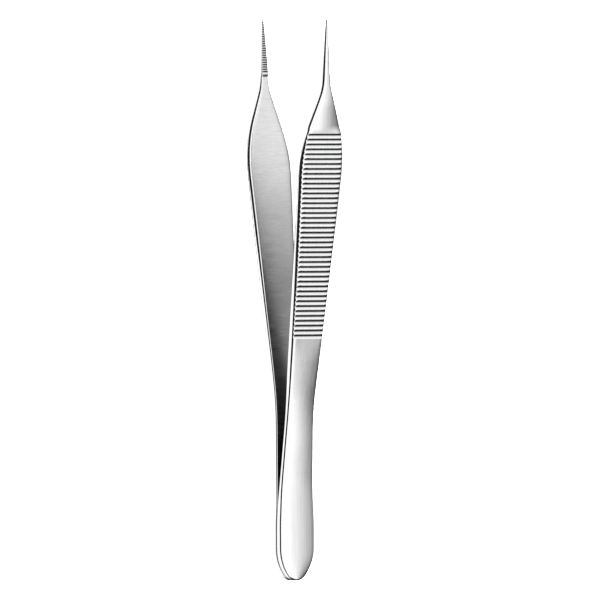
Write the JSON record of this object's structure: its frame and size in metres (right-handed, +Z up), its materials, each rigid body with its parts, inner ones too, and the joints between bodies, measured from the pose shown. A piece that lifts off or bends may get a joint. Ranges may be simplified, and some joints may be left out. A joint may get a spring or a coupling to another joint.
{
  "type": "thumb forceps",
  "caption": "Slim two-armed spring steel thumb forceps, welded at the rounded butt, with wide ribbed finger grips and fine serrated tips.",
  "frame": {"origin": "on the surface the forceps lies on, under the middle of its length and of its opening", "axes": "+X the way the arms open, from the far arm to the near arm; +Y along the forceps, from the welded butt to the tips; +Z up, the forceps lying on the long edges of both arms"},
  "size_m": [0.0232, 0.12, 0.0115],
  "materials": {
    "steel": "satin"
  },
  "bodies": {
    "root": {"near_arm": "steel", "far_arm": "steel"}
  },
  "joints": []
}
